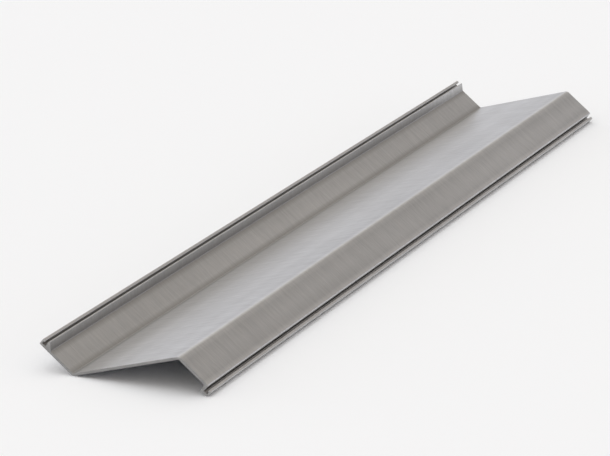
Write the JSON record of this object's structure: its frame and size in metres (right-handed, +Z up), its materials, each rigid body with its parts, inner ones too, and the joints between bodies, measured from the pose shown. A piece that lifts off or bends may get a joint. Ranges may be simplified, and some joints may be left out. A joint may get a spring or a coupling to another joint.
{
  "type": "steel sheet pile",
  "caption": "Single hot-rolled Z-section steel sheet pile, 700 mm wide and 5 m long, with a claw on one edge and a hook on the other.",
  "frame": {"origin": "on the floor under the middle of the pile, as it lies", "axes": "+Y along the pile, +X from the claw to the hook, +Z up from the floor it lies on"},
  "size_m": [0.8426, 5, 0.1627],
  "materials": {
    "steel": "bare rolled mill finish, satin grey, with fine streaks across the web and flanges"
  },
  "bodies": {
    "root": {"sheet_pile": "steel"}
  },
  "joints": []
}
